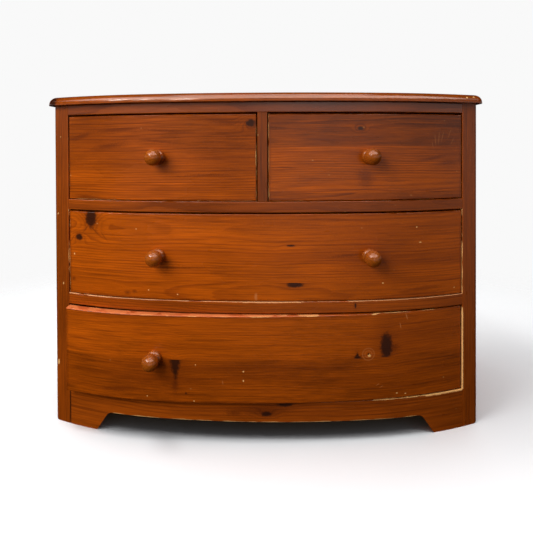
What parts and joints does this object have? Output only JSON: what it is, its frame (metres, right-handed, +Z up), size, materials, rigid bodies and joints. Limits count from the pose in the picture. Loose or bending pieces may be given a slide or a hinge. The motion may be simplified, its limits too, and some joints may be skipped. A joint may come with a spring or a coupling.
{
  "type": "chest of drawers",
  "caption": "Bow front chest of drawers in stained pine: short drawers over long ones, turned knobs, moulded top and bracket feet cut in a bowed apron.",
  "frame": {"origin": "middle of the part's box, on the floor", "axes": "+Z up, the front and its drawers face -Y, +X to the right of someone facing the front"},
  "size_m": [0.924, 0.5262, 0.694],
  "materials": {
    "stained_pine": "red-brown stain under satin lacquer, worn pale on some edges",
    "drawer_front_pine": "red-brown stain under satin lacquer, knotty",
    "turned_knob": "stained and lacquered, glossier than the boards",
    "bare_pine": "bare planed softwood",
    "plywood": "thin unfinished plywood",
    "zinc_screws": "zinc plated"
  },
  "bodies": {
    "case": {"top_board": "stained_pine", "top_rail": "stained_pine", "upper_rail": "stained_pine", "lower_rail": "stained_pine", "bottom_rail": "bare_pine", "apron": "stained_pine", "centre_divider": "stained_pine", "left_front_post": "stained_pine", "left_side_panel": "stained_pine", "right_front_post": "stained_pine", "right_side_panel": "stained_pine", "back_panel": "plywood", "back_top_rail": "bare_pine", "back_middle_rail": "bare_pine", "back_bottom_rail": "bare_pine", "upper_runner_left": "bare_pine", "middle_runner_left": "bare_pine", "bottom_runner_left": "bare_pine", "upper_runner_right": "bare_pine", "middle_runner_right": "bare_pine", "bottom_runner_right": "bare_pine", "centre_runner": "bare_pine", "left_top_cleat": "bare_pine", "right_top_cleat": "bare_pine", "drawer_stops": "bare_pine", "top_screws": "zinc_screws", "runner_screws": "zinc_screws", "back_nails": "zinc_screws"},
    "upper_left_drawer": {"upper_left_drawer_left_side": "bare_pine", "upper_left_drawer_right_side": "bare_pine", "upper_left_drawer_back": "bare_pine", "upper_left_drawer_bottom": "plywood", "upper_left_drawer_knob": "turned_knob", "upper_left_drawer_knob_screws": "zinc_screws", "upper_left_drawer_front": "drawer_front_pine"},
    "upper_right_drawer": {"upper_right_drawer_left_side": "bare_pine", "upper_right_drawer_right_side": "bare_pine", "upper_right_drawer_back": "bare_pine", "upper_right_drawer_bottom": "plywood", "upper_right_drawer_knob": "turned_knob", "upper_right_drawer_knob_screws": "zinc_screws", "upper_right_drawer_front": "drawer_front_pine"},
    "middle_drawer": {"middle_drawer_left_side": "bare_pine", "middle_drawer_right_side": "bare_pine", "middle_drawer_back": "bare_pine", "middle_drawer_bottom": "plywood", "middle_drawer_knob_left": "turned_knob", "middle_drawer_knob_right": "turned_knob", "middle_drawer_knob_screws": "zinc_screws", "middle_drawer_front": "drawer_front_pine"},
    "bottom_drawer": {"bottom_drawer_left_side": "bare_pine", "bottom_drawer_right_side": "bare_pine", "bottom_drawer_back": "bare_pine", "bottom_drawer_bottom": "plywood", "bottom_drawer_knob_left": "turned_knob", "bottom_drawer_knob_screws": "zinc_screws", "bottom_drawer_front": "drawer_front_pine"}
  },
  "joints": [
    {"name": "upper_left_slide", "type": "slide", "parent": "case", "child": "upper_left_drawer", "axis": [0, -1, 0], "range_m": [0, 0.25]},
    {"name": "upper_right_slide", "type": "slide", "parent": "case", "child": "upper_right_drawer", "axis": [0, -1, 0], "range_m": [0, 0.25]},
    {"name": "middle_slide", "type": "slide", "parent": "case", "child": "middle_drawer", "axis": [0, -1, 0], "range_m": [0, 0.25]},
    {"name": "bottom_slide", "type": "slide", "parent": "case", "child": "bottom_drawer", "axis": [0, -1, 0], "range_m": [0, 0.25]}
  ]
}
